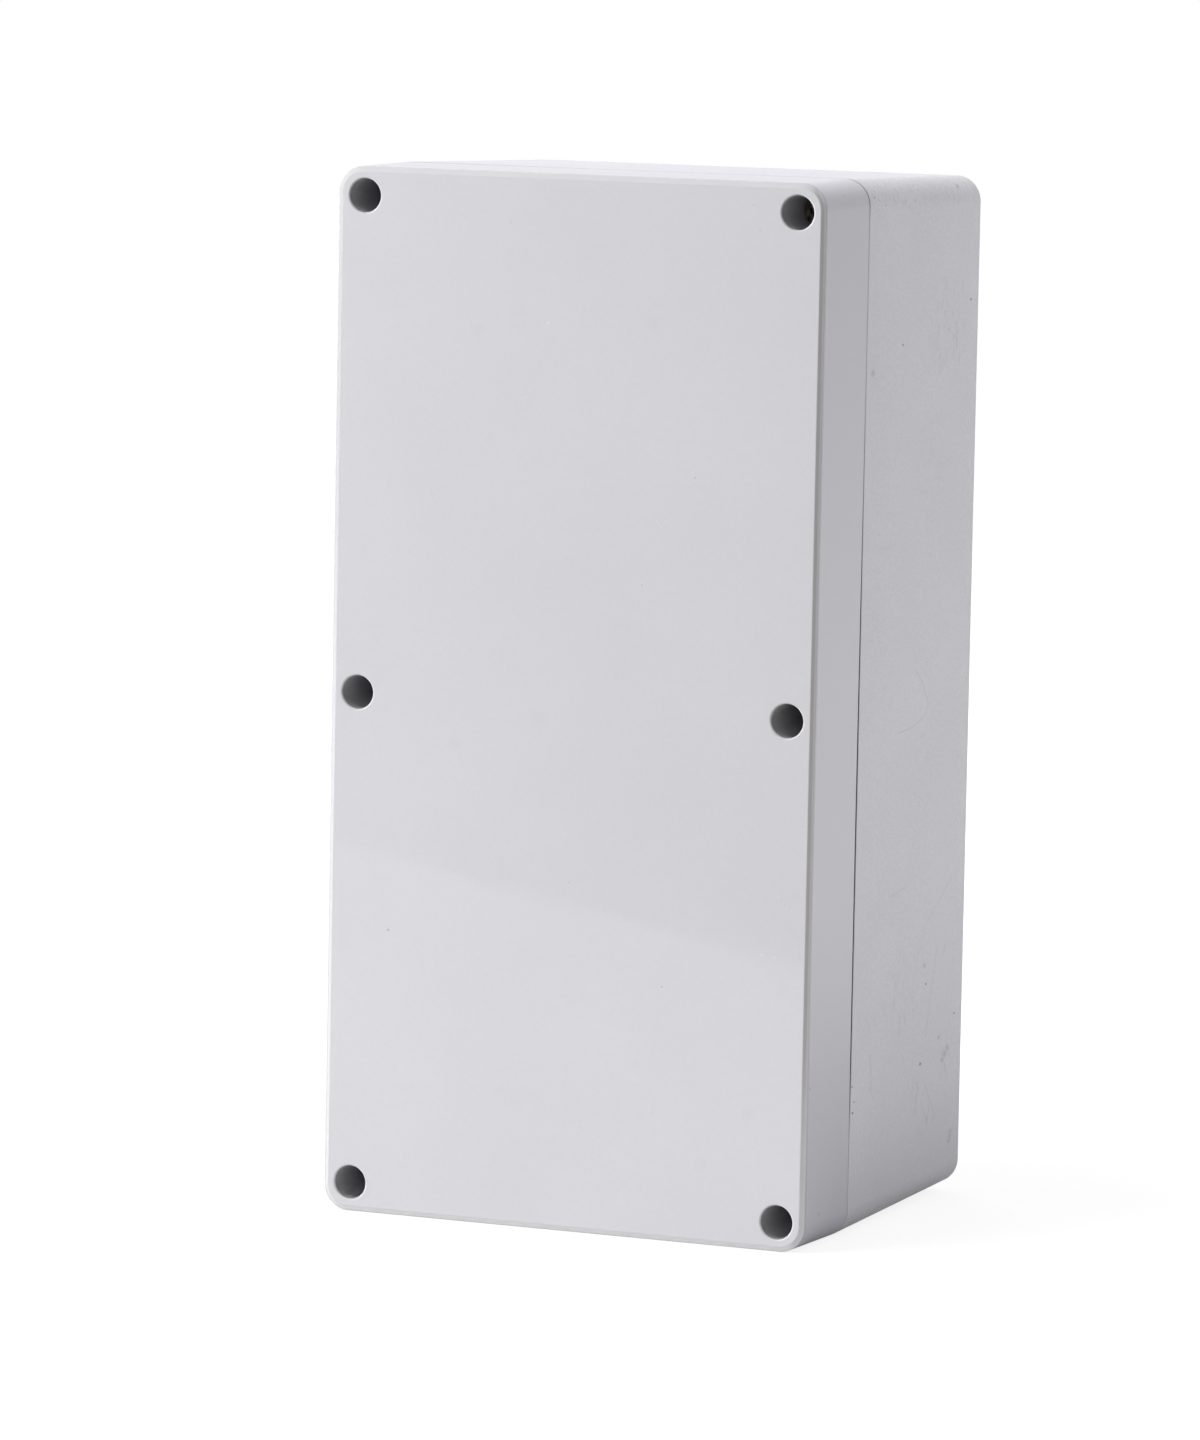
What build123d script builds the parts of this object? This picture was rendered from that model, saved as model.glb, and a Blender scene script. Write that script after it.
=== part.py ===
from build123d import *
import os

# A wall-mount plastic project box that stands on its short end with its screwed lid to the front.
# Millimetres. X is the width, Y the depth (lid at -Y, back at +Y), Z the height.
# The origin is the middle of the footprint, at the level that the box stands on.

# Outside of the box. Both mouldings are largest where they meet.
height = 240.0
width = 120.0
depth = 98.0
lid_depth = 25.5
corner_radius = 6.0
lid_draft = 0.3
base_draft = 1.35
bevel_inset = 1.2
bevel_depth = 0.6
back_edge_break = 0.5

# Walls
wall = 3.0
lid_face = 3.0
base_back = 3.0
inner_radius = 3.2

# Lid screws: four in the corners and two half way up the long sides
screw_from_side = 6.85
screw_from_end = 6.75
access_bore = 7.8
mouth_break = 0.25
screw_floor = 3.0
lid_screw_hole = 4.5
head_diameter = 7.2
head_height = 2.6
head_crown = 0.5
thread_diameter = 3.94
thread_pitch = 0.7
screw_length = 16.0
tip_chamfer = 0.6
recess_width = 1.1
recess_length = 4.2
recess_depth = 1.7
recess_draft = 9.0
washer_diameter = 7.4
washer_hole = 4.3
washer_thickness = 0.8
# The photograph shows one screw, at the top right, turned out of its seat by this much.
loose_screw = "top_right"
loose_turns = 10

# Threaded inserts in the base's screw columns
insert_diameter = 5.6
insert_waist = 5.0
insert_band = 3.0
insert_length = 8.0
insert_bore = 4.1
insert_recess = 0.2
tip_room_diameter = 4.6
tip_room_length = 6.0

# Seal: a tongue on the base presses the gasket in a groove of the lid
tongue_offset = 0.35
tongue_width = 1.3
tongue_height = 2.3
groove_clearance = 0.25
gasket_thickness = 1.2
gasket_side_clearance = 0.05
rim_rib_width = 1.3
rim_rib_depth = 5.0
seam_gap = 0.12

# The lid's long rims are hollow: they leave the base a little below half height.
rim_bow = 0.45
rim_bow_length = 190.0
rim_bow_height = 95.0

# Corner and side columns that stand in the two mouldings
column_from_side = 15.5
column_from_end = 27.0
column_radius = 2.5
side_column_radius = 7.4

# Wall fixing: a chamber in each corner column, outside the seal, with a hole through the back
chamber_wall = 3.0
chamber_from_end = 12.75
chamber_radius = 2.0
chamber_draft = 0.5
fixing_hole = 5.0
fixing_floor = 3.5

# Bosses on the inside of the back for a circuit board
boss_diameter = 7.0
boss_height = 6.0
boss_hole = 3.0
boss_hole_depth = 7.5
boss_span_x = 76.0
boss_span_z = 180.0
boss_foot = 0.8

# Depths of the main faces, worked out from the sizes above
front_y = -depth / 2
seam_y = front_y + lid_depth
back_y = depth / 2
base_depth = depth - lid_depth
screw_seat_y = seam_y - screw_floor
groove_depth = tongue_height + gasket_thickness
groove_near = tongue_offset - groove_clearance
groove_far = tongue_offset + tongue_width + groove_clearance
overcut = 1.0


def section(y):
    """A plane across the depth, seen from the front, with its middle at half height."""
    return Plane(origin=(0, y, height / 2), x_dir=(1, 0, 0), z_dir=(0, -1, 0))


def section_from_back(y):
    """The same plane turned to face the back. What is drawn on it is alike at top and bottom."""
    return Plane(origin=(0, y, height / 2), x_dir=(1, 0, 0), z_dir=(0, 1, 0))


def prism(sketch, y_from, y_to):
    """A sketch carried along the depth from one plane to a plane further back."""
    return extrude(section(y_to) * sketch, amount=y_to - y_from)


def drafted(plane, sketch, run, angle):
    """A sketch carried along a plane's normal, drawn in by a draft angle, or spread by a negative one."""
    block = extrude(plane * sketch, amount=run)
    sides = block.faces().filter_by(lambda face: abs(face.normal_at().Y) < 0.5)
    return draft(sides, plane, angle)


def rounded(block, radius):
    """A block with its four edges along the depth made round, drafted or not."""
    along = block.edges().filter_by(lambda edge: abs((edge @ 1 - edge @ 0).Y) > edge.length / 2)
    return fillet(along, radius)


def bore(x, z, diameter, y_from, y_to):
    """A straight round solid along the depth, placed from the middle of the box."""
    return prism(Pos(x, z) * Circle(diameter / 2), y_from, y_to)


def screw_places():
    """Names and places of the six lid screws, measured from the middle of the box."""
    side = width / 2 - screw_from_side
    end = height / 2 - screw_from_end
    rows = {"top": end, "middle": 0.0, "bottom": -end}
    columns = {"left": -side, "right": side}
    return {f"{row}_{column}": (x, z) for row, z in rows.items() for column, x in columns.items()}


def corner_signs():
    return [(sx, sz) for sx in (-1, 1) for sz in (-1, 1)]


def corner_column(sx, sz):
    """Outline of a corner column at the seam, from beyond the walls to its inner faces."""
    reach_x = column_from_side + overcut
    reach_z = column_from_end + overcut
    x = sx * (width / 2 + overcut - reach_x / 2)
    z = sz * (height / 2 + overcut - reach_z / 2)
    return Pos(x, z) * RectangleRounded(reach_x, reach_z, column_radius)


def side_post(sx):
    """The round of a side column about its screw, at the seam."""
    return Pos(sx * (width / 2 - screw_from_side), 0) * Circle(side_column_radius)


def side_web(sx):
    """The straight flanks that join a side column to the wall, at the seam."""
    flank = screw_from_side + overcut
    return Pos(sx * (width / 2 + overcut - flank / 2), 0) * Rectangle(flank, 2 * side_column_radius)


def chamber(sx, sz):
    """Outline of the wall-fixing chamber inside a corner column, at the seam, still with sharp corners."""
    size_x = column_from_side - 2 * chamber_wall
    size_z = column_from_end - chamber_wall - chamber_from_end
    x, z = chamber_middle()
    return Pos(sx * x, sz * z) * Rectangle(size_x, size_z)


def chamber_middle():
    """The middle of a chamber and of its fixing hole, from the middle of the box."""
    x = width / 2 - column_from_side / 2
    z = height / 2 - (chamber_from_end + column_from_end - chamber_wall) / 2
    return x, z


def inside_outline():
    """The inner wall line at the seam, with the corner and side columns left standing."""
    sketch = RectangleRounded(width - 2 * wall, height - 2 * wall, inner_radius)
    for sx, sz in corner_signs():
        sketch -= corner_column(sx, sz)
    for sx in (-1, 1):
        sketch -= side_post(sx) + side_web(sx)
    return sketch


def seal_ring(line, near, far):
    """A closed band that follows the inner wall line between two distances outside it."""
    return offset(line, far) - offset(line, near)


def lid_outside():
    """Drafted block of the lid with round corners and the bevel round its face."""
    block = rounded(drafted(section(seam_y), Rectangle(width, height), lid_depth, lid_draft), corner_radius)
    face = block.faces().sort_by(Axis.Y)[0]
    return chamfer(face.edges(), bevel_inset, bevel_depth, reference=face)


def base_outside():
    """Drafted block of the base with round corners and its back edge broken."""
    block = drafted(section_from_back(seam_y), Rectangle(width, height), base_depth, base_draft)
    block = rounded(block, corner_radius)
    return chamfer(block.faces().sort_by(Axis.Y)[-1].edges(), back_edge_break)


def rim_bow_prism():
    """The thin round segment by which the lid's long rims are hollow."""
    low = rim_bow_height - rim_bow_length / 2
    high = rim_bow_height + rim_bow_length / 2
    rim_y = seam_y - seam_gap
    with BuildSketch(Plane.YZ) as segment:
        with BuildLine():
            ThreePointArc((rim_y, low), (rim_y - rim_bow, rim_bow_height), (rim_y, high))
            Polyline((rim_y, high), (seam_y + overcut, high), (seam_y + overcut, low), (rim_y, low))
        make_face()
    return extrude(segment.sketch, amount=width, both=True)


def lid_rim_cut(line):
    """What is cut from the lid's outer lip so that it stands off the base."""
    sheet = Rectangle(width + 2 * overcut, height + 2 * overcut) - offset(line, groove_far)
    deep = seam_gap + rim_bow + overcut
    lip = prism(sheet, seam_y - deep, seam_y + overcut)
    even_gap = prism(sheet, seam_y - seam_gap, seam_y + overcut)
    return even_gap + (lip & rim_bow_prism())


def make_lid(line):
    """Front moulding: a shallow tray with deep screw wells, a gasket groove and a rim rib."""
    cuts = [
        prism(line, front_y + lid_face, seam_y - rim_rib_depth),
        prism(offset(line, -rim_rib_width), seam_y - rim_rib_depth, seam_y + overcut),
        prism(seal_ring(line, groove_near, groove_far), seam_y - groove_depth, seam_y + overcut),
    ]
    for sx, sz in corner_signs():
        space = prism(chamber(sx, sz), front_y + lid_face, seam_y + overcut)
        cuts.append(rounded(space, chamber_radius))
    for x, z in screw_places().values():
        cuts.append(bore(x, z, access_bore, front_y - overcut, screw_seat_y))
        cuts.append(bore(x, z, lid_screw_hole, screw_seat_y - overcut, seam_y + overcut))
        cuts.append(screw_mouth(x, z))
    return lid_outside() - cuts - lid_rim_cut(line)


def screw_mouth(x, z):
    """The slightly broken edge at the mouth of a screw well."""
    wide = Pos(x, z) * Circle(access_bore / 2 + mouth_break)
    tight = Pos(x, z) * Circle(access_bore / 2)
    return loft([section(front_y) * wide, section(front_y + mouth_break) * tight], ruled=True)


def base_cavity():
    """The drafted inside of the base, with its columns left standing."""
    mouth = section_from_back(seam_y)
    run = base_depth - base_back
    tray = drafted(mouth, Rectangle(width - 2 * wall, height - 2 * wall), run, base_draft)
    tray = rounded(tray, inner_radius)
    outlines = [corner_column(sx, sz) for sx, sz in corner_signs()]
    outlines += [draw(sx) for sx in (-1, 1) for draw in (side_post, side_web)]
    return tray - [drafted(mouth, outline, run, -base_draft) for outline in outlines]


def board_bosses():
    """Four round bosses on the inside of the back, each with a broad foot."""
    floor_y = back_y - base_back
    bosses = []
    for sx, sz in corner_signs():
        x = sx * boss_span_x / 2
        z = sz * boss_span_z / 2
        bosses.append(bore(x, z, boss_diameter, floor_y - boss_height, floor_y))
        bosses.append(bore(x, z, boss_diameter + 2 * boss_foot, floor_y - boss_foot, floor_y))
    return bosses


def make_base(line):
    """Back moulding: a deep drafted tub with screw columns, fixing chambers and board bosses."""
    tongue = seal_ring(line, tongue_offset, tongue_offset + tongue_width)
    base = base_outside() - base_cavity()
    base += [prism(tongue, seam_y - tongue_height, seam_y)] + board_bosses()
    cuts = []
    boss_end_y = back_y - base_back - boss_height
    for sx, sz in corner_signs():
        x = sx * boss_span_x / 2
        z = sz * boss_span_z / 2
        cuts.append(bore(x, z, boss_hole, boss_end_y - overcut, boss_end_y + boss_hole_depth))
        cuts += fixing_chamber(sx, sz)
    insert_end = seam_y + insert_recess + insert_length
    for x, z in screw_places().values():
        cuts.append(bore(x, z, insert_diameter, seam_y - overcut, insert_end))
        cuts.append(bore(x, z, tip_room_diameter, insert_end - overcut, insert_end + tip_room_length))
    return base - cuts


def fixing_chamber(sx, sz):
    """A corner chamber that narrows to its floor, and the wall-screw hole through that floor."""
    run = base_depth - fixing_floor
    x, z = chamber_middle()
    hole = bore(sx * x, sz * z, fixing_hole, seam_y + run - overcut, back_y + overcut)
    space = drafted(section_from_back(seam_y), chamber(sx, sz), run, chamber_draft)
    return [rounded(space, chamber_radius), hole]


def make_gasket(line):
    """Rubber ring that fills the closed end of the lid's groove."""
    ring = seal_ring(line, groove_near + gasket_side_clearance, groove_far - gasket_side_clearance)
    groove_end = seam_y - groove_depth
    return prism(ring, groove_end, groove_end + gasket_thickness)


def turned(points, x, z, y):
    """A part turned about an axis along the depth, from (radius, distance back) points."""
    with BuildSketch(Plane.XY) as half:
        with BuildLine():
            Polyline(*points, close=True)
        make_face()
    solid = revolve(half.sketch, axis=Axis.Y, revolution_arc=360)
    return Pos(x, y, height / 2 + z) * solid


def make_insert(x, z):
    """Brass insert with two gripping bands and a waist between them."""
    inner = insert_bore / 2
    outer = insert_diameter / 2
    waist = insert_waist / 2
    band_end = insert_length - insert_band
    points = [
        (inner, 0),
        (outer, 0),
        (outer, insert_band),
        (waist, insert_band),
        (waist, band_end),
        (outer, band_end),
        (outer, insert_length),
        (inner, insert_length),
    ]
    return turned(points, x, z, seam_y + insert_recess)


def make_washer(x, z, raised):
    """Flat washer under the head, which comes out with the screw."""
    points = [
        (washer_hole / 2, 0),
        (washer_diameter / 2, 0),
        (washer_diameter / 2, washer_thickness),
        (washer_hole / 2, washer_thickness),
    ]
    return turned(points, x, z, screw_seat_y - washer_thickness - raised)


def make_screw(x, z, raised):
    """Cheese-head lid screw with a cross recess; its thread is a plain shank here."""
    head = head_diameter / 2
    shank = thread_diameter / 2
    points = [
        (0, 0),
        (head - head_crown, 0),
        (head, head_crown),
        (head, head_height),
        (shank, head_height),
        (shank, head_height + screw_length - tip_chamfer),
        (shank - tip_chamfer, head_height + screw_length),
        (0, head_height + screw_length),
    ]
    y = screw_seat_y - washer_thickness - head_height - raised
    return turned(points, x, z, y) - cross_recess(x, z, y)


def cross_recess(x, z, y):
    """Four tapering wings cut into the head."""
    wings = []
    for size_x, size_z in ((recess_length, recess_width), (recess_width, recess_length)):
        mouth = Plane(origin=(x, y, height / 2 + z), x_dir=(1, 0, 0), z_dir=(0, 1, 0))
        wings.append(drafted(mouth, Rectangle(size_x, size_z), recess_depth, recess_draft))
    return wings


def main():
    os.makedirs("parts", exist_ok=True)
    line = inside_outline()
    parts = {"base": make_base(line), "lid": make_lid(line), "gasket": make_gasket(line)}
    for name, (x, z) in screw_places().items():
        raised = loose_turns * thread_pitch if name == loose_screw else 0.0
        parts[f"threaded_insert_{name}"] = make_insert(x, z)
        parts[f"screw_washer_{name}"] = make_washer(x, z, raised)
        parts[f"lid_screw_{name}"] = make_screw(x, z, raised)
    for name, part in parts.items():
        export_step(part, f"parts/{name}.step")


main()
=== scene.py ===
import math

import bmesh
import bpy
from mathutils import Matrix, Vector


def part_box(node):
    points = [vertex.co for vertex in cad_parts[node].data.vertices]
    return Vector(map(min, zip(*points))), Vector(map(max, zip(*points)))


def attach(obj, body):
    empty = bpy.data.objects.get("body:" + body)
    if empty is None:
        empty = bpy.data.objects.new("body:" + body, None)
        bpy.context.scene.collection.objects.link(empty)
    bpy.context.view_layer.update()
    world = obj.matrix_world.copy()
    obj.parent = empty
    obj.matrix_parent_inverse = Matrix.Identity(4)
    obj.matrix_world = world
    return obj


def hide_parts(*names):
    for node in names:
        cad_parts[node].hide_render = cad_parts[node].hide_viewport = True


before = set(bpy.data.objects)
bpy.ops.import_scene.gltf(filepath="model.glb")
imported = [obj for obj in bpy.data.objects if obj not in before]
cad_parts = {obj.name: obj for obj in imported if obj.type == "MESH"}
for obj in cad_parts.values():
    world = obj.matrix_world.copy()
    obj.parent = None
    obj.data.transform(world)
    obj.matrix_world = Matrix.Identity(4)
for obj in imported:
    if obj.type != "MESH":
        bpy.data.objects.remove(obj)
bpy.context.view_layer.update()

# The looks of a plastic project box on a white table. The scene is in metres with Z up, and the lid
# faces -Y. The places and lengths of the box's own features below are in millimetres.
MM = 0.001

# The photograph's camera, from a fit to the box's edges and its six screw wells
CAMERA_PLACE = (0.750388, -1.716439, 0.321917)
CAMERA_YAW = 24.012
CAMERA_PITCH_DOWN = 6.392
CAMERA_ROLL = 1.086
CAMERA_LENS = 203.94
CAMERA_SENSOR = 36.0

# The table ends along a line in front of the box, which the glossy lid mirrors. Metres and degrees.
TABLE_EDGE_POINT = (-0.228, -0.556)
TABLE_EDGE_ANGLE = 37.4
TABLE_REACH = 5.0
TABLE_ALBEDO = 0.74
TABLE_GRAIN = (0.99, 1.01)
# How bright the lid mirrors the table before the box, and how bright others mirror it behind the box
TABLE_MIRRORED = (0.40, 0.88)
# What the camera sees of the table: a share that takes shadow, and a glow that is less near the box
TABLE_SHADE = 0.24
TABLE_GLOW = 0.84
GLOW_FROM, GLOW_TO = 0.10, 0.28
# The lit table behind the box, which its right side mirrors above a soft, slanting line
MIRRORED_GLOW = 0.88
MIRRORED_FROM, MIRRORED_TO = 0.22, 0.46
FAR_GLOW = 0.32
FAR_FROM, FAR_TO = 0.7, 1.9

# Light of the studio, in shares of the level at which a colour renders as written
ROOM_LEVEL = 0.25
BACKDROP_LEVEL = 0.90
BACKDROP_FROM, BACKDROP_TO = -0.25, 0.35
LAMP_DISTANCE = 1.6
LAMPS = {
    "key_softbox": dict(azimuth=-52, elevation=18, size=0.9, level=0.645),
    "high_softbox": dict(azimuth=-45, elevation=60, size=0.9, level=0.61),
    "right_softbox": dict(azimuth=140, elevation=31, size=1.3, level=0.49),
    "back_softbox": dict(azimuth=212, elevation=45, size=1.0, level=0.27),
    "front_fill": dict(azimuth=20, elevation=8, size=0.6, level=0.045)}

# The box's own shape, as part.py has it
FACE_Y = -49.0
BEVEL_BACK_Y = -48.4
PARTING_Y = -48.0
SEAM_Y = -23.5
MIDDLE_Z = 120.0
HALF_WIDTH = 60.0
BASE_DRAFT = 1.35
WELL_X = 53.15
WELL_Z = 113.25

# Plastics, with painted shade and painted light on the lid's sides, top, bevel and well rims
LID_COLOUR = (0.688, 0.681, 0.717)
# The lid's side and top colours are its plastic made darker: painted shade on those faces
LID_SIDE_PAINTED_SHADE = (0.563, 0.552, 0.603)
LID_TOP_PAINTED_SHADE = (0.648, 0.636, 0.693)
# Painted shade and painted light on the bevel round the lid's face, and a painted highlight on its edge
TOP_BEVEL_PAINTED_SHADE = (0.645, 0.636, 0.652)
LOW_BEVEL_PAINTED_LIGHT = (0.762, 0.752, 0.770)
RIGHT_BEVEL_PAINTED_SHADE = (0.524, 0.505, 0.500)
RIGHT_LOW_BEVEL_PAINTED_SHADE = (0.640, 0.625, 0.630)
BEVEL_EDGE_PAINTED_HIGHLIGHT = (0.66, 0.645, 0.66)
# Painted highlight on the wells' right rims
WELL_RIM_PAINTED_HIGHLIGHT = (0.90, 0.89, 0.91)
BASE_COLOUR = (0.712, 0.705, 0.758)
LID_FACE_ROUGHNESS = (0.018, 0.040)
LID_SIDE_ROUGHNESS = 0.36
BASE_ROUGHNESS = (0.42, 0.56)
GRAIN_SCALE = 1500.0

# Dirt, wear and painted shade, which are mixed into the plastics
# Dirt in the seam, and painted shade along it on the top
SEAM_GRIME_AND_SHADE = (0.13, 0.105, 0.078)
# Painted shade inside the screw wells
WELL_PAINTED_SHADE = (0.31, 0.335, 0.28)
LID_GRAIN = (0.50, 0.50, 0.53)
PARTING_SHADE = (0.25, 0.26, 0.32)
SPECK = (0.20, 0.18, 0.16)
TICK = (0.86, 0.84, 0.72)
LID_SCRATCH = (0.85, 0.85, 0.87)
# Grey of the base's grain and scratches, and painted shade of the lid's dents
GREY_MARKS_AND_DENT_SHADE = (0.40, 0.40, 0.42)
TOP_DUST = (0.25, 0.23, 0.21)
# Painted shade low on the base
LOW_PAINTED_SHADE = (0.30, 0.28, 0.27)
DUST = (0.17, 0.13, 0.10)
RUB = (0.34, 0.30, 0.28)
RUBBED_PATCH = (0.34, 0.29, 0.26)
SMUDGE = (0.34, 0.26, 0.21)

# Marks on the lid's face: x, z and radius
DENTS = ((-24.6, 203.9, 1.3), (18.7, 207.4, 1.2), (-28.3, 109.9, 1.3), (-7.3, 117.2, 1.2),
         (45.5, 31.0, 1.3), (34.6, 18.3, 1.2))
FAINT_SPECKS = ((42.6, 234.6, 0.22), (44.2, 229.1, 0.24), (-16.6, 228.6, 0.20))
FACE_SPECKS = ((29.7, 173.2, 0.18), (-44.4, 65.9, 0.28), (24.1, 58.0, 0.20), (17.3, 148.5, 0.16),
               (0.5, 80.0, 0.14))
TICKS = ((-7.0, 206.3, 0.24), (-12.2, 189.4, 0.20), (52.0, 80.5, 0.20), (55.3, 77.5, 0.16),
         (48.3, 67.0, 0.20), (51.4, 66.7, 0.24))
# Specks on the lid's top and right side: x, y, z and radius
LID_SIDE_SPECKS = ((0.5, -36.0, 240.0, 0.22), (59.2, -36.5, 237.0, 0.25), (59.96, -31.4, 200.0, 0.24),
                   (59.88, -47.0, 37.4, 0.28), (59.91, -40.2, 8.0, 0.36))
# Scratches on the lid's face: x and z of both ends
FACE_SCRATCHES = ((20.4, 163.4, 21.6, 161.6), (21.6, 161.6, 23.0, 163.6),
                  (28.9, 174.6, 29.9, 172.4), (16.6, 149.6, 18.0, 147.9))

# Marks on the base's right side: y and z of points, with radii or half widths
HAIR = ((12.2, 126.4), (17.4, 123.0), (21.2, 118.4), (20.6, 115.9), (17.5, 114.6), (10.0, 113.2),
        (2.7, 112.8))
SIDE_SCRATCHES = (((25.0, 28.4), (32.0, 20.5), 0.12), ((22.5, 24.5), (27.5, 19.0), 0.10))
RUBS = (((40.7, 75.8), (24.0, 66.7), 0.35), ((24.0, 66.7), (16.7, 57.1), 0.35),
        ((-11.3, 39.9), (-10.1, 32.1), 0.7), ((35.2, 57.8), (36.7, 59.8), 0.6),
        ((9.0, 76.6), (-0.5, 75.3), 0.5), ((31.0, 60.0), (24.5, 40.0), 0.5))
SIDE_DUST = ((-0.5, 201.7, 0.24), (-22.4, 34.5, 0.22), (-20.9, 30.8, 0.22), (-21.7, 28.4, 0.28),
             (21.6, 33.8, 0.36), (24.1, 52.2, 0.26), (43.4, 42.9, 0.24))
SIDE_SMUDGES = ((42.8, 15.0, 0.55), (42.4, 13.9, 0.6), (42.0, 12.9, 0.5), (39.4, 35.2, 0.7),
                (37.8, 34.0, 0.8), (36.2, 32.8, 0.6), (23.0, 56.7, 0.5), (33.6, 38.5, 0.5),
                (-19.3, 196.4, 0.7))
RUBBED_PATCHES = ((27.0, 23.0, 5.0), (38.0, 34.0, 4.0), (20.0, 27.0, 4.0), (8.0, 52.0, 8.0),
                  (30.0, 205.0, 9.0))
# Marks on the base's rounded corners: x, y, z and radius
CORNER_DUST = ((59.64, -19.9, 235.8, 0.22), (58.8, -18.7, 237.5, 0.16), (59.8, -17.3, 235.2, 0.15),
               (59.8, -13.4, 233.9, 0.17), (58.4, 43.5, 210.0, 0.28))
CORNER_SMUDGE = (57.25, 36.3, 236.4, 0.6)

# Screws, as part.py has them
SCREW_NAMES = [f"{row}_{side}" for row in ("top", "middle", "bottom") for side in ("left", "right")]
THREAD_PITCH = 0.7
THREAD_MAJOR = 1.97
THREAD_MINOR = 1.60
THREAD_CREST = 0.15
THREAD_FLANK = 0.65
THREAD_RUN_IN = 0.5
THREAD_ROWS_PER_TURN = 8
THREAD_SEGMENTS = 36
HEAD_HEIGHT = 2.6
TIP_LENGTH = 0.6


class Tree:
    """Short calls that add nodes to one material or world and link them."""

    def __init__(self, tree):
        self.tree = tree

    def add(self, kind, inputs=None, **settings):
        """A node of a kind, with its settings, and values or other nodes' sockets as inputs."""
        node = self.tree.nodes.new(kind)
        for name, value in settings.items():
            setattr(node, name, value)
        for name, value in (inputs or {}).items():
            self.put(node.inputs[name], value)
        return node

    def put(self, socket, value):
        """Links a socket, or sets a plain value."""
        if isinstance(value, bpy.types.NodeSocket):
            self.tree.links.new(value, socket)
        else:
            socket.default_value = value

    def math(self, operation, a, b=0.0, clamp=False):
        node = self.add("ShaderNodeMath", {0: a, 1: b}, operation=operation, use_clamp=clamp)
        return node.outputs[0]

    def times(self, first, *others):
        """The product of several numbers."""
        for other in others:
            first = self.math("MULTIPLY", first, other)
        return first

    def strongest(self, first, *others):
        """The largest of several numbers."""
        for other in others:
            first = self.math("MAXIMUM", first, other)
        return first

    def apart(self, value, centre):
        """How far a number lies from another one, whichever is larger."""
        return self.math("ABSOLUTE", self.math("SUBTRACT", value, centre))

    def vector(self, operation, a, b=(0.0, 0.0, 0.0)):
        return self.add("ShaderNodeVectorMath", {0: a, 1: b}, operation=operation)

    def parts(self, vector):
        """A vector's X, Y and Z."""
        return self.add("ShaderNodeSeparateXYZ", {0: vector}).outputs

    def ramp(self, value, low, high, at_low=0.0, at_high=1.0):
        """A smooth change from one number to another while value goes from low to high."""
        node = self.add("ShaderNodeMapRange", interpolation_type="SMOOTHSTEP")
        for index, number in enumerate((value, low, high, at_low, at_high)):
            self.put(node.inputs[index], number)
        return node.outputs[0]

    def ramp_mm(self, value, low, high, at_low=0.0, at_high=1.0):
        """The same for a length, with low and high in millimetres."""
        return self.ramp(value, low * MM, high * MM, at_low, at_high)

    def noise(self, place, scale, detail=2.0, roughness=0.5):
        node = self.add("ShaderNodeTexNoise", {
            "Vector": place, "Scale": scale, "Detail": detail, "Roughness": roughness})
        return node.outputs["Fac"]

    def mix(self, share, a, b):
        """A colour between two colours."""
        node = self.add("ShaderNodeMix", data_type="RGBA")
        for index, value in ((0, share), (6, a), (7, b)):
            self.put(node.inputs[index], rgba(value) if isinstance(value, tuple) else value)
        return node.outputs[2]

    def pick(self, share, a, b):
        """A number between two numbers."""
        node = self.add("ShaderNodeMix", {0: share}, data_type="FLOAT")
        self.put(node.inputs[2], a)
        self.put(node.inputs[3], b)
        return node.outputs[0]

    def bump(self, height, distance, strength=1.0, normal=None):
        """A normal that follows a height. The distance is in millimetres."""
        node = self.add("ShaderNodeBump", {
            "Height": height, "Distance": distance * MM, "Strength": strength})
        if normal is not None:
            self.put(node.inputs["Normal"], normal)
        return node.outputs[0]


def rgba(colour):
    return (*colour, 1.0)


def toned(colour, factor):
    """A colour made lighter or darker."""
    return tuple(channel * factor for channel in colour)


def new_material(name):
    """An empty material: its tree, the object's own coordinates and its shader node."""
    material = bpy.data.materials.new(name)
    material.use_nodes = True
    material.node_tree.nodes.clear()
    tree = Tree(material.node_tree)
    shader = tree.add("ShaderNodeBsdfPrincipled")
    output = tree.add("ShaderNodeOutputMaterial")
    tree.put(output.inputs["Surface"], shader.outputs[0])
    place = tree.add("ShaderNodeTexCoord").outputs["Object"]
    return material, tree, place, shader


def finish_shader(tree, shader, colour, roughness, normal):
    for name, value in (("Base Color", colour), ("Roughness", roughness), ("Normal", normal)):
        tree.put(shader.inputs[name], value)


def spot(tree, place, centre, radius, softness=0.5):
    """A round mask about a point, 1 inside and fading out at its edge. Millimetres."""
    away = tree.vector("DISTANCE", place, tuple(c * MM for c in centre)).outputs["Value"]
    return tree.ramp(away, radius * MM * (1 - softness), radius * MM * (1 + softness), 1.0, 0.0)


def scratch(tree, place, start, end, half_width):
    """A thin mask along the line between two points. Millimetres."""
    a, b = (Vector(p) * MM for p in (start, end))
    run = b - a
    from_a = tree.vector("SUBTRACT", place, tuple(a)).outputs[0]
    along = tree.vector("DOT_PRODUCT", from_a, tuple(run / run.length_squared)).outputs["Value"]
    share = tree.math("MULTIPLY", along, 1.0, clamp=True)
    foot = tree.add("ShaderNodeVectorMath", {0: tuple(run), 3: share}, operation="SCALE").outputs[0]
    away = tree.vector("DISTANCE", from_a, foot).outputs["Value"]
    return tree.ramp(away, half_width * MM * 0.4, half_width * MM * 1.4, 1.0, 0.0)


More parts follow.
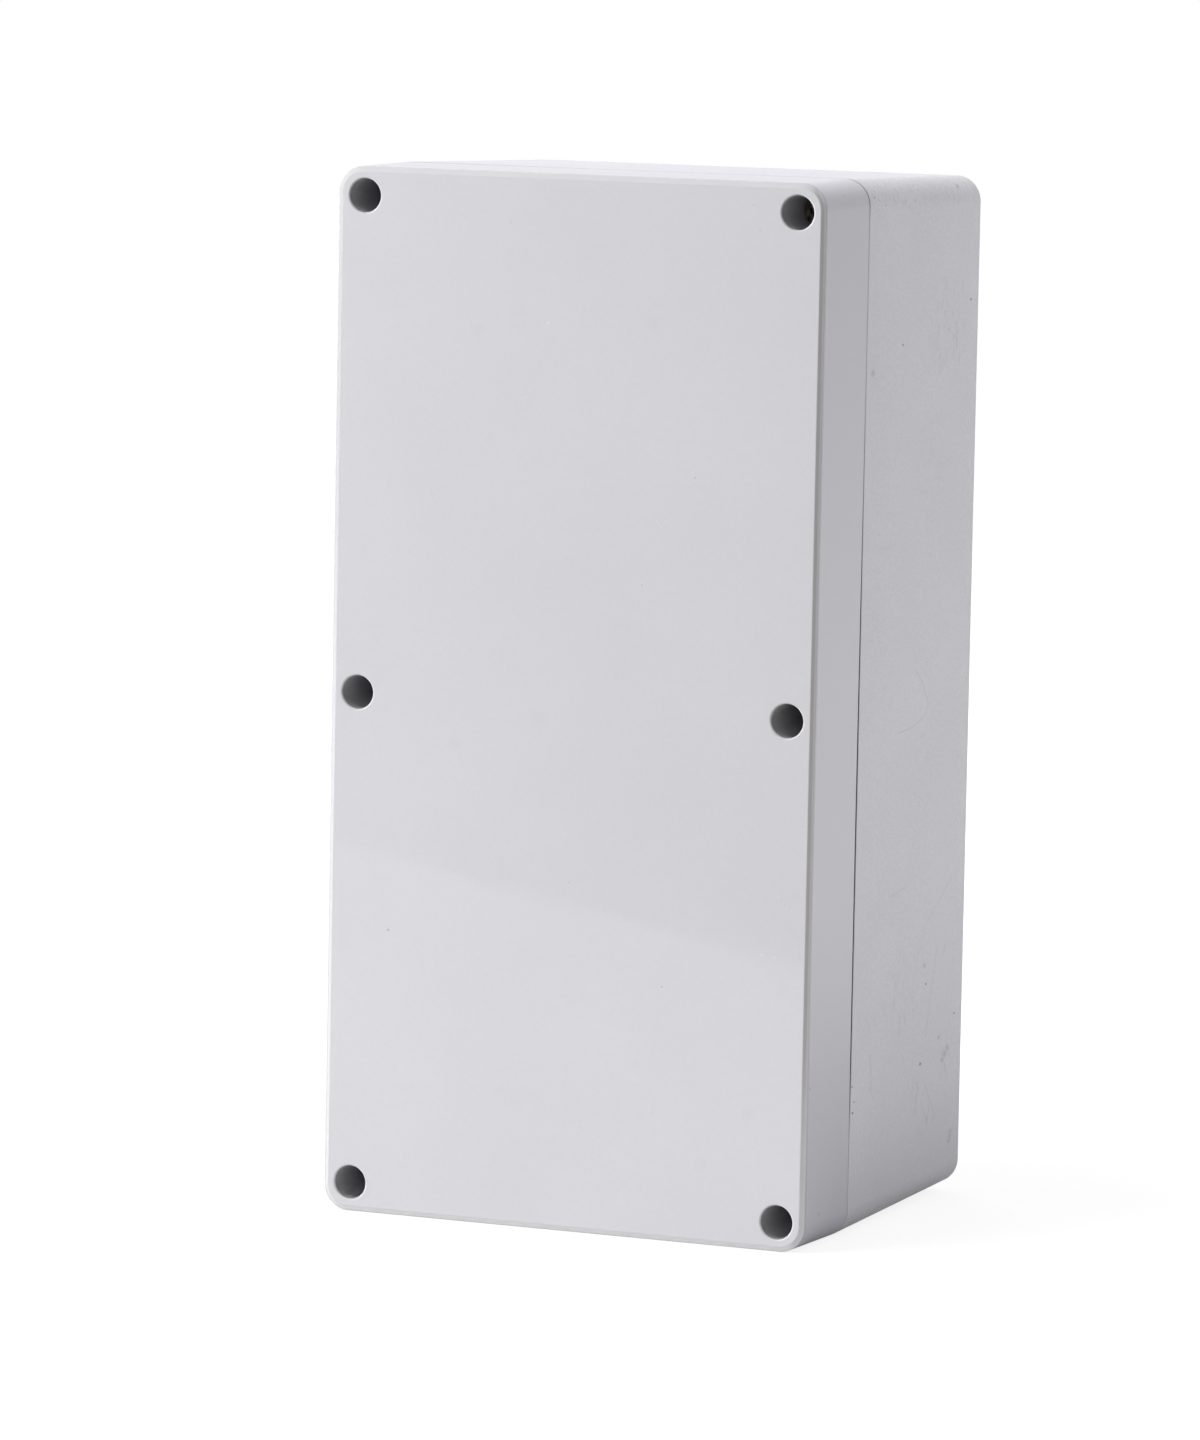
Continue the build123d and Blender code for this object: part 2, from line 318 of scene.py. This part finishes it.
def marks(tree, place, colour, places, tone, share, softness=0.5, wide=1.0):
    """The colour with round marks on it, or wide ones along Y. Each place is x, y, z and a radius."""
    place = tree.vector("MULTIPLY", place, (1.0, 1.0 / wide, 1.0)).outputs[0]
    masks = [spot(tree, place, (x, y / wide, z), radius, softness) for x, y, z, radius in places]
    return tree.mix(tree.times(tree.strongest(*masks), share), colour, tone)


def on_face(places):
    """Marks of x, z and radius, put on the lid's face."""
    return [(x, FACE_Y, z, radius) for x, z, radius in places]


def base_side(y, z):
    """A point on the base's drafted right side."""
    return (HALF_WIDTH - math.tan(math.radians(BASE_DRAFT)) * (y - SEAM_Y), y, z)


def on_side(places):
    """Marks of y, z and radius, put on the base's right side."""
    return [(*base_side(y, z), radius) for y, z, radius in places]


def side_lines(tree, place, lines):
    """A mask of several lines on the base's right side, each with its two ends and half width."""
    return tree.strongest(*[scratch(tree, place, base_side(*start), base_side(*end), half_width)
                            for start, end, half_width in lines])


def place_camera():
    data = bpy.data.cameras.new("photo_camera")
    data.sensor_fit = "VERTICAL"
    data.sensor_width = data.sensor_height = CAMERA_SENSOR
    data.lens = CAMERA_LENS
    data.clip_start, data.clip_end = 0.1, 60.0
    camera = bpy.data.objects.new("photo_camera", data)
    bpy.context.scene.collection.objects.link(camera)
    yaw = Matrix.Rotation(math.radians(CAMERA_YAW), 3, "Z")
    pitch = Matrix.Rotation(math.radians(90 - CAMERA_PITCH_DOWN), 3, "X")
    roll = Matrix.Rotation(math.radians(CAMERA_ROLL), 3, "Z")
    turn = yaw @ pitch @ roll
    camera.matrix_world = Matrix.Translation(CAMERA_PLACE) @ turn.to_4x4()
    bpy.context.scene.camera = camera


def table_material():
    """White table: seen bright, but still with the box's soft shadow on it."""
    material = bpy.data.materials.new("white_table")
    material.use_nodes = True
    material.node_tree.nodes.clear()
    tree = Tree(material.node_tree)
    place = tree.add("ShaderNodeTexCoord").outputs["Object"]
    rays = tree.add("ShaderNodeLightPath").outputs
    depth_part = tree.parts(place)["Y"]
    mirrored = tree.ramp(depth_part, -0.1, 0.05, *TABLE_MIRRORED)
    lit = tree.pick(rays["Is Glossy Ray"], TABLE_ALBEDO, mirrored)
    level = tree.pick(rays["Is Camera Ray"], lit, TABLE_SHADE)
    level = tree.times(level, tree.ramp(tree.noise(place, 900.0), 0.2, 0.8, *TABLE_GRAIN))
    diffuse = tree.add("ShaderNodeBsdfDiffuse", {"Color": level})
    away = tree.vector("LENGTH", place).outputs["Value"]
    glow = tree.times(tree.ramp(away, GLOW_FROM, GLOW_TO, TABLE_GLOW, 1.0), rays["Is Camera Ray"])
    far = tree.math("ADD", tree.ramp(away, MIRRORED_FROM, MIRRORED_TO, 0.0, MIRRORED_GLOW),
                    tree.ramp(away, FAR_FROM, FAR_TO, 0.0, FAR_GLOW))
    behind = tree.ramp(depth_part, -0.1, 0.1)
    glow = tree.math("ADD", glow, tree.times(behind, far, rays["Is Glossy Ray"]))
    emission = tree.add("ShaderNodeEmission", {"Strength": glow})
    total = tree.add("ShaderNodeAddShader", {0: diffuse.outputs[0], 1: emission.outputs[0]})
    output = tree.add("ShaderNodeOutputMaterial")
    tree.put(output.inputs["Surface"], total.outputs[0])
    return material


def make_table():
    """A flat white sheet under the box, which reaches far to the back and ends near its front."""
    angle = math.radians(TABLE_EDGE_ANGLE)
    along = Vector((math.cos(angle), math.sin(angle), 0))
    inward = Vector((-math.sin(angle), math.cos(angle), 0))
    edge = Vector((*TABLE_EDGE_POINT, 0))
    corners = [edge + along * side * TABLE_REACH + inward * back * TABLE_REACH
               for side, back in ((-1, 0), (1, 0), (1, 1), (-1, 1))]
    mesh = bpy.data.meshes.new("white_table")
    mesh.from_pydata(corners, [], [(0, 1, 2, 3)])
    mesh.materials.append(table_material())
    table = bpy.data.objects.new("white_table", mesh)
    bpy.context.scene.collection.objects.link(table)


def make_world():
    """White all round for the camera. The box mirrors a white backdrop behind it, and the room in
    front gives it a dim light from all sides."""
    world = bpy.data.worlds.new("studio")
    bpy.context.scene.world = world
    world.use_nodes = True
    world.node_tree.nodes.clear()
    tree = Tree(world.node_tree)
    depth_part = tree.parts(tree.add("ShaderNodeTexCoord").outputs["Generated"])["Y"]
    rays = tree.add("ShaderNodeLightPath").outputs
    backdrop = tree.ramp(depth_part, BACKDROP_FROM, BACKDROP_TO, 0.0, BACKDROP_LEVEL)
    room = tree.ramp(depth_part, BACKDROP_FROM, BACKDROP_TO, ROOM_LEVEL, 0.0)
    light = tree.math("ADD", tree.times(backdrop, rays["Is Glossy Ray"]),
                      tree.times(room, rays["Is Diffuse Ray"]))
    strength = tree.strongest(light, rays["Is Camera Ray"])
    background = tree.add("ShaderNodeBackground", {"Color": (1.0, 1.0, 1.0, 1.0), "Strength": strength})
    output = tree.add("ShaderNodeOutputWorld")
    tree.put(output.inputs["Surface"], background.outputs[0])


def add_lamp(name, azimuth, elevation, size, level):
    """A square soft lamp that faces the box, and that the box doesn't mirror. Azimuth 0 is before the
    lid, 90 to its right."""
    turn, rise = math.radians(azimuth), math.radians(elevation)
    towards = Vector((math.sin(turn) * math.cos(rise), -math.cos(turn) * math.cos(rise), math.sin(rise)))
    data = bpy.data.lights.new(name, "AREA")
    data.size = size
    data.energy = level * (math.pi * LAMP_DISTANCE) ** 2
    lamp = bpy.data.objects.new(name, data)
    lamp.location = Vector((0, 0, MIDDLE_Z * MM)) + towards * LAMP_DISTANCE
    lamp.rotation_euler = towards.to_track_quat("Z", "Y").to_euler()
    lamp.visible_glossy = False
    bpy.context.scene.collection.objects.link(lamp)


def seam_grime_and_shade(tree, place):
    """Dirt in the outer part of the seam: most at mid height, none near the low end, and a wide faint
    line of painted shade on the top, where a step between the mouldings would shade."""
    part = tree.parts(place)
    from_seam = tree.apart(part["Y"], SEAM_Y * MM)
    from_middle = tree.apart(part["Z"], MIDDLE_Z * MM)
    outside = tree.strongest(tree.ramp_mm(tree.math("ABSOLUTE", part["X"]), 57.6, 58.3),
                             tree.ramp_mm(from_middle, 117.6, 118.3))
    near = tree.times(tree.ramp_mm(from_seam, 0.15, 0.55, 1.0, 0.0), outside)
    low = tree.ramp_mm(part["Z"], 18, 40)
    high = tree.ramp_mm(part["Z"], 105, 215, 1.0, 0.30)
    top = tree.ramp_mm(part["Z"], 226, 236, 0.0, 0.75)
    dirt = tree.times(near, low, tree.strongest(high, top))
    # Painted shade: a wide faint dark line along the seam on the top, where a step would shade
    wide = tree.times(tree.ramp_mm(from_seam, 0.9, 2.0, 0.38, 0.0),
                      tree.ramp_mm(part["X"], -40, -5, 1.0, 0.25),
                      tree.ramp_mm(part["Z"], 238.5, 239.5))
    return tree.strongest(dirt, wide)


def well_masks(tree, place):
    """Two masks at the lid's six screw wells: painted shade inside them, less of it deeper in, and a
    painted highlight on their right rim."""
    part = tree.parts(place)
    across = tree.math("SUBTRACT", tree.math("ABSOLUTE", part["X"]), WELL_X * MM)
    from_middle = tree.apart(part["Z"], MIDDLE_Z * MM)
    along = tree.math("MINIMUM", from_middle, tree.apart(from_middle, WELL_Z * MM))
    from_axis = tree.add("ShaderNodeCombineXYZ", {0: across, 1: along}).outputs[0]
    away = tree.vector("LENGTH", from_axis).outputs["Value"]
    # Painted shade inside the wells, less of it deeper in
    shade = tree.times(tree.ramp_mm(away, 3.95, 4.10, 1.0, 0.0),
                       tree.ramp_mm(part["Y"], -47.5, -37.0, 0.42, 0.08),
                       tree.ramp_mm(part["Y"], -48.9, -48.4))
    to_right = tree.math("DIVIDE", tree.times(across, tree.math("SIGN", part["X"])), away)
    # Painted highlight on the right rim
    rim_highlight = tree.times(tree.ramp_mm(away, 4.15, 4.35, 1.0, 0.0), tree.ramp(to_right, 0.1, 0.8),
                     tree.ramp_mm(part["Y"], -48.9, -48.6, 0.8, 0.0))
    return shade, rim_highlight


def bump_of_sides(tree, strength):
    """A bump's strength, less on faces that look up, which the camera sees at a low angle."""
    up = tree.parts(tree.add("ShaderNodeTexCoord").outputs["Normal"])["Z"]
    return tree.ramp(up, 0.3, 0.9, strength, strength * 0.03)


def lid_bevel(tree, place, colour):
    """The colour with painted shade and painted light on the bevel round the lid's face, and a painted
    highlight on its outer part left and right."""
    part = tree.parts(place)
    band = tree.times(tree.ramp_mm(part["Y"], FACE_Y, FACE_Y + 0.1),
                      tree.ramp_mm(part["Y"], BEVEL_BACK_Y - 0.15, BEVEL_BACK_Y, 1.0, 0.0))
    # Painted shade on the bevel's top and right parts, painted light on its low part
    tint = tree.mix(tree.ramp_mm(part["Z"], 20, 220), LOW_BEVEL_PAINTED_LIGHT, TOP_BEVEL_PAINTED_SHADE)
    right = tree.mix(tree.ramp_mm(part["Z"], 5, 60), RIGHT_LOW_BEVEL_PAINTED_SHADE, RIGHT_BEVEL_PAINTED_SHADE)
    tint = tree.mix(tree.ramp_mm(part["X"], 56, 58), tint, right)
    colour = tree.mix(band, colour, tint)
    # Painted highlight on the bevel's outer part, left and right
    edge_highlight = tree.times(
        tree.ramp_mm(part["Y"], BEVEL_BACK_Y - 0.28, BEVEL_BACK_Y - 0.16, 0.0, 0.9),
        tree.ramp_mm(part["Y"], BEVEL_BACK_Y - 0.05, BEVEL_BACK_Y + 0.1, 1.0, 0.0),
        tree.ramp_mm(tree.math("ABSOLUTE", part["X"]), 57, 58.6))
    return tree.mix(edge_highlight, colour, BEVEL_EDGE_PAINTED_HIGHLIGHT)


def lid_plastic():
    """Glossy light grey moulding with faint flow marks, dust specks and fine scratches, and painted
    shade and light on its sides, top, bevel and wells.
    """
    material, tree, place, shader = new_material("lid_plastic")
    facing = tree.parts(tree.add("ShaderNodeTexCoord").outputs["Normal"])
    cloud = tree.ramp(tree.noise(place, 18.0, 3.0), 0.3, 0.7)
    colour = tree.mix(cloud, toned(LID_COLOUR, 0.985), toned(LID_COLOUR, 1.012))
    # Painted shade: the lid's sides and top get darker copies of its colour
    sideways = tree.ramp(facing["Y"], -0.8, -0.3)
    side = tree.mix(tree.ramp(facing["Z"], 0.4, 0.9), LID_SIDE_PAINTED_SHADE, LID_TOP_PAINTED_SHADE)
    colour = tree.mix(sideways, colour, side)
    colour = lid_bevel(tree, place, colour)
    fine = tree.noise(place, GRAIN_SCALE, 2.0)
    colour = tree.mix(tree.ramp(fine, 0.3, 0.7, 0.0, 0.06), colour, LID_GRAIN)
    # The dents are painted shade: faint grey discs
    colour = marks(tree, place, colour, on_face(DENTS), GREY_MARKS_AND_DENT_SHADE, 0.07, 0.9)
    colour = marks(tree, place, colour, on_face(FAINT_SPECKS), SPECK, 0.18)
    colour = marks(tree, place, colour, [*on_face(FACE_SPECKS), *LID_SIDE_SPECKS], SPECK, 0.45)
    colour = marks(tree, place, colour, on_face(TICKS), TICK, 0.6)
    lines = tree.strongest(*[scratch(tree, place, (x1, FACE_Y, z1), (x2, FACE_Y, z2), 0.10)
                             for x1, z1, x2, z2 in FACE_SCRATCHES])
    colour = tree.mix(tree.times(lines, 0.25), colour, LID_SCRATCH)
    from_parting = tree.apart(tree.parts(place)["Y"], PARTING_Y * MM)
    colour = tree.mix(tree.ramp_mm(from_parting, 0.15, 0.45, 0.30, 0.0), colour, PARTING_SHADE)
    # Seam dirt, and a painted shade line on the top
    colour = tree.mix(seam_grime_and_shade(tree, place), colour, SEAM_GRIME_AND_SHADE)
    shade, rim_highlight = well_masks(tree, place)
    # Painted shade in the wells and a painted highlight on their right rims
    colour = tree.mix(shade, colour, WELL_PAINTED_SHADE)
    colour = tree.mix(rim_highlight, colour, WELL_RIM_PAINTED_HIGHLIGHT)
    smears = tree.ramp(tree.noise(place, 60.0, 4.0, 0.6), 0.35, 0.75, *LID_FACE_ROUGHNESS)
    rough = tree.pick(sideways, smears, LID_SIDE_ROUGHNESS)
    rough = tree.math("ADD", rough, tree.times(lines, 0.15))
    soft_edge = tree.add("ShaderNodeBevel", {"Radius": 0.3 * MM}, samples=6).outputs[0]
    peel = tree.bump(tree.noise(place, 150.0, 2.0), 0.0025, bump_of_sides(tree, 0.6), soft_edge)
    finish_shader(tree, shader, colour, rough, peel)
    shader.inputs["IOR"].default_value = 1.58
    return material


def base_plastic():
    """Matte light grey moulding with a fine grain, a hair-like scratch and some dust, and painted
    shade low down.
    """
    material, tree, place, shader = new_material("base_plastic")
    cloud = tree.ramp(tree.noise(place, 22.0, 4.0, 0.6), 0.3, 0.7)
    colour = tree.mix(cloud, toned(BASE_COLOUR, 0.97), toned(BASE_COLOUR, 1.015))
    grain = tree.noise(place, GRAIN_SCALE, 3.0, 0.6)
    colour = tree.mix(tree.ramp(grain, 0.35, 0.7, 0.0, 0.14), colour, GREY_MARKS_AND_DENT_SHADE)
    height_part = tree.parts(place)["Z"]
    mottle = tree.ramp(tree.noise(place, 950.0, 3.0, 0.65), 0.52, 0.68, 0.0, 0.22)
    colour = tree.mix(tree.times(mottle, tree.ramp_mm(height_part, 228, 236)), colour, TOP_DUST)
    # Painted shade: the base darker towards its low end
    colour = tree.mix(tree.ramp_mm(height_part, 5, 32, 0.18, 0.0), colour, LOW_PAINTED_SHADE)
    hair = [(start, end, 0.10) for start, end in zip(HAIR, HAIR[1:])]
    lines = side_lines(tree, place, [*hair, *SIDE_SCRATCHES])
    colour = tree.mix(tree.times(lines, 0.45), colour, GREY_MARKS_AND_DENT_SHADE)
    colour = tree.mix(tree.times(side_lines(tree, place, RUBS), 0.10), colour, RUB)
    dust = [*CORNER_DUST, *on_side(SIDE_DUST)]
    colour = marks(tree, place, colour, dust, DUST, 0.75, 0.5, 1.9)
    smudges = [*on_side(SIDE_SMUDGES), CORNER_SMUDGE]
    colour = marks(tree, place, colour, smudges, SMUDGE, 0.42, 0.8, 1.5)
    patches = [spot(tree, place, at[:3], at[3], 0.8) for at in on_side(RUBBED_PATCHES)]
    stretched = tree.vector("MULTIPLY", place, (1.0, 1.6, 0.8)).outputs[0]
    rubbed = tree.ramp(tree.noise(stretched, 330.0, 4.0, 0.6), 0.52, 0.68)
    rubbed = tree.times(rubbed, tree.times(tree.strongest(*patches), 0.32))
    colour = tree.mix(rubbed, colour, RUBBED_PATCH)
    # Seam dirt, and a painted shade line on the top
    colour = tree.mix(seam_grime_and_shade(tree, place), colour, SEAM_GRIME_AND_SHADE)
    soft_edge = tree.add("ShaderNodeBevel", {"Radius": 0.25 * MM}, samples=4).outputs[0]
    texture = tree.bump(grain, 0.022, bump_of_sides(tree, 0.8), soft_edge)
    finish_shader(tree, shader, colour, tree.ramp(grain, 0.3, 0.7, *BASE_ROUGHNESS), texture)
    shader.inputs["IOR"].default_value = 1.5
    return material


def gasket_rubber():
    """Dull black rubber with a fine skin."""
    material, tree, place, shader = new_material("gasket_rubber")
    skin = tree.noise(place, 1500.0, 3.0)
    colour = tree.mix(skin, (0.020, 0.020, 0.021), (0.045, 0.045, 0.047))
    finish_shader(tree, shader, colour, tree.ramp(skin, 0.3, 0.7, 0.55, 0.75), tree.bump(skin, 0.03))
    return material


def screw_steel():
    """Plated steel gone dull and brown in places."""
    material, tree, place, shader = new_material("screw_steel")
    stain = tree.ramp(tree.noise(place, 700.0, 4.0, 0.6), 0.4, 0.65)
    colour = tree.mix(stain, (0.42, 0.39, 0.35), (0.20, 0.14, 0.10))
    skin = tree.bump(tree.noise(place, 4000.0, 2.0), 0.01, 0.5)
    finish_shader(tree, shader, colour, tree.ramp(stain, 0.0, 1.0, 0.28, 0.5), skin)
    shader.inputs["Metallic"].default_value = 1.0
    return material


def washer_nylon():
    """Natural nylon: off-white, a little waxy."""
    material, tree, place, shader = new_material("washer_nylon")
    cloud = tree.noise(place, 500.0, 3.0)
    colour = tree.mix(cloud, (0.70, 0.68, 0.61), (0.78, 0.77, 0.72))
    finish_shader(tree, shader, colour, tree.ramp(cloud, 0.3, 0.7, 0.35, 0.45), tree.bump(cloud, 0.02))
    shader.inputs["Subsurface Weight"].default_value = 0.15
    shader.inputs["Subsurface Scale"].default_value = 0.5 * MM
    return material


def insert_brass():
    """Turned brass with fine turning lines."""
    material, tree, place, shader = new_material("insert_brass")
    stretched = tree.vector("MULTIPLY", place, (60.0, 5000.0, 60.0)).outputs[0]
    lines = tree.noise(stretched, 1.0, 2.0)
    colour = tree.mix(lines, (0.62, 0.44, 0.18), (0.80, 0.62, 0.32))
    finish_shader(tree, shader, colour, tree.ramp(lines, 0.3, 0.7, 0.22, 0.36), tree.bump(lines, 0.01))
    shader.inputs["Metallic"].default_value = 1.0
    return material


def thread_radius(turns):
    """Radius of the thread's surface where this many turns lie past a crest's middle."""
    from_crest = abs((turns + 0.5) % 1.0 - 0.5) * 2
    flank = min(max((from_crest - THREAD_CREST) / THREAD_FLANK, 0.0), 1.0)
    return THREAD_MAJOR + (THREAD_MINOR - THREAD_MAJOR) * flank


def add_thread(bm, x, z, start, end):
    """A right-hand thread along +Y on a screw's shank, between two depths. Millimetres."""
    rows = round((end - start) / THREAD_PITCH * THREAD_ROWS_PER_TURN)
    rings = []
    for row in range(rows + 1):
        y = start + (end - start) * row / rows
        run_in = min(1.0, (y - start) / (THREAD_RUN_IN * THREAD_PITCH))
        tip = max(0.0, y - (end - TIP_LENGTH))
        ring = []
        for step in range(THREAD_SEGMENTS):
            share = step / THREAD_SEGMENTS
            cut = thread_radius(y / THREAD_PITCH - share)
            radius = min(THREAD_MAJOR + (cut - THREAD_MAJOR) * run_in, THREAD_MAJOR - tip)
            turn = 2 * math.pi * share
            ring.append(bm.verts.new((
                (x + radius * math.sin(turn)) * MM, y * MM, (z + radius * math.cos(turn)) * MM)))
        rings.append(ring)
    for ring, following in zip(rings, rings[1:]):
        for step in range(THREAD_SEGMENTS):
            after = (step + 1) % THREAD_SEGMENTS
            bm.faces.new((ring[step], following[step], following[after], ring[after])).smooth = True
    bm.faces.new(rings[-1])


def make_threaded_screw(name, steel):
    """The CAD screw's own head on a shank with a real thread."""
    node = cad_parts[f"lid_screw_{name}"]
    low, high = (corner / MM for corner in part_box(f"lid_screw_{name}"))
    under_head = low.y + HEAD_HEIGHT
    bm = bmesh.new()
    bm.from_mesh(node.data)
    shank = [v for v in bm.verts if v.co.y / MM > under_head + 0.05]
    bmesh.ops.delete(bm, geom=shank, context="VERTS")
    add_thread(bm, (low.x + high.x) / 2, (low.z + high.z) / 2, under_head, high.y)
    bmesh.ops.recalc_face_normals(bm, faces=bm.faces)
    mesh = bpy.data.meshes.new(f"threaded_screw_{name}")
    bm.to_mesh(mesh)
    bm.free()
    mesh.materials.clear()
    mesh.materials.append(steel)
    screw = bpy.data.objects.new(f"threaded_screw_{name}", mesh)
    bpy.context.scene.collection.objects.link(screw)
    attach(screw, f"screw_{name}")
    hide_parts(f"lid_screw_{name}")


def dress(node, material):
    """Gives a CAD node its material."""
    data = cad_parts[node].data
    data.materials.clear()
    data.materials.append(material)


def main():
    place_camera()
    make_table()
    make_world()
    for name, values in LAMPS.items():
        add_lamp(name, **values)
    dress("lid", lid_plastic())
    dress("base", base_plastic())
    dress("gasket", gasket_rubber())
    steel, nylon, brass = screw_steel(), washer_nylon(), insert_brass()
    for name in SCREW_NAMES:
        dress(f"screw_washer_{name}", nylon)
        dress(f"threaded_insert_{name}", brass)
        make_threaded_screw(name, steel)
    bpy.context.scene.view_settings.view_transform = "Standard"


main()
